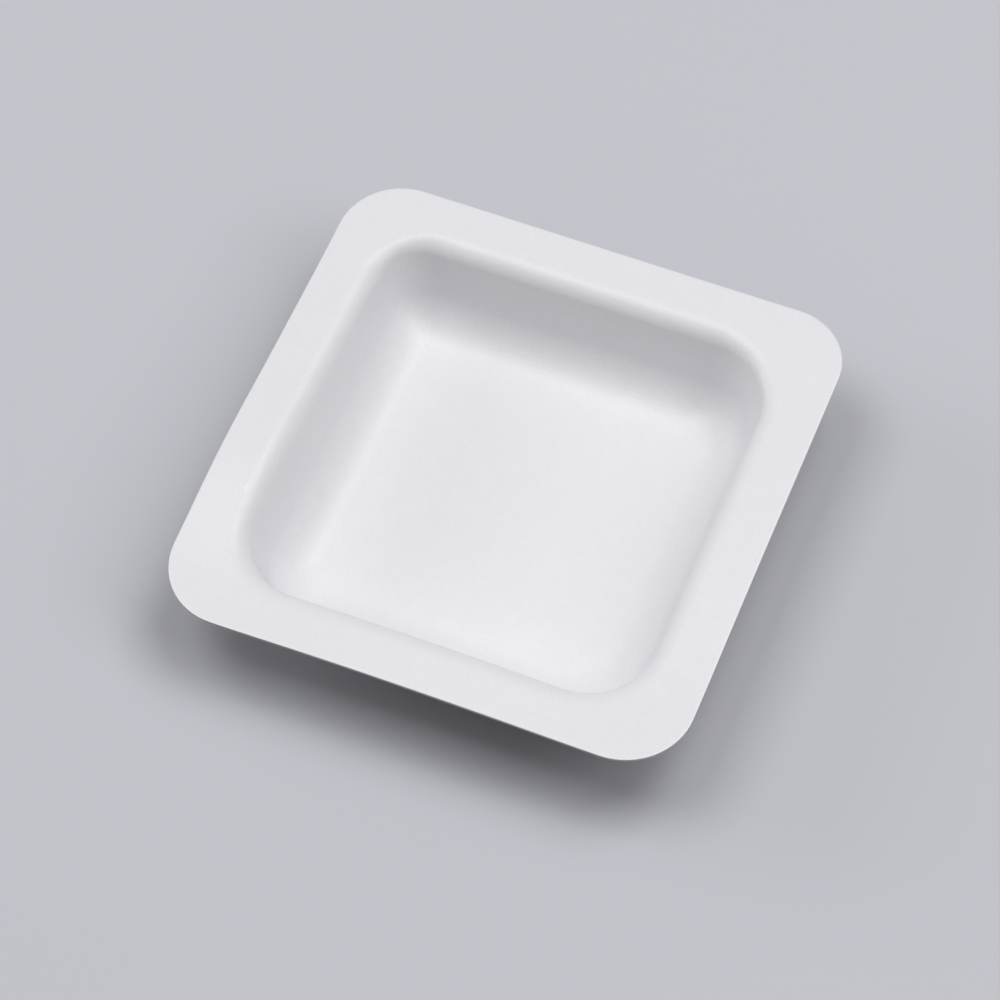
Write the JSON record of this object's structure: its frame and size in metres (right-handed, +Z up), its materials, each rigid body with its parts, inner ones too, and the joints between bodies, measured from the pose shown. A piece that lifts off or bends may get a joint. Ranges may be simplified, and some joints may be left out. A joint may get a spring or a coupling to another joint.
{
  "type": "weighing boat",
  "caption": "Shallow square plastic boat with a flat rounded rim, a soft lip, leaning walls and a flat floor, for weighing out powders and small samples.",
  "frame": {"origin": "centre of the floor's underside, on the table that the boat stands on", "axes": "+Z up, out of the open mouth; +X and +Y along the square rim's sides"},
  "size_m": [0.041, 0.041, 0.008],
  "materials": {
    "polystyrene": "white polystyrene sheet, matte to satin with a very fine grain"
  },
  "bodies": {
    "root": {"boat": "polystyrene"}
  },
  "joints": []
}
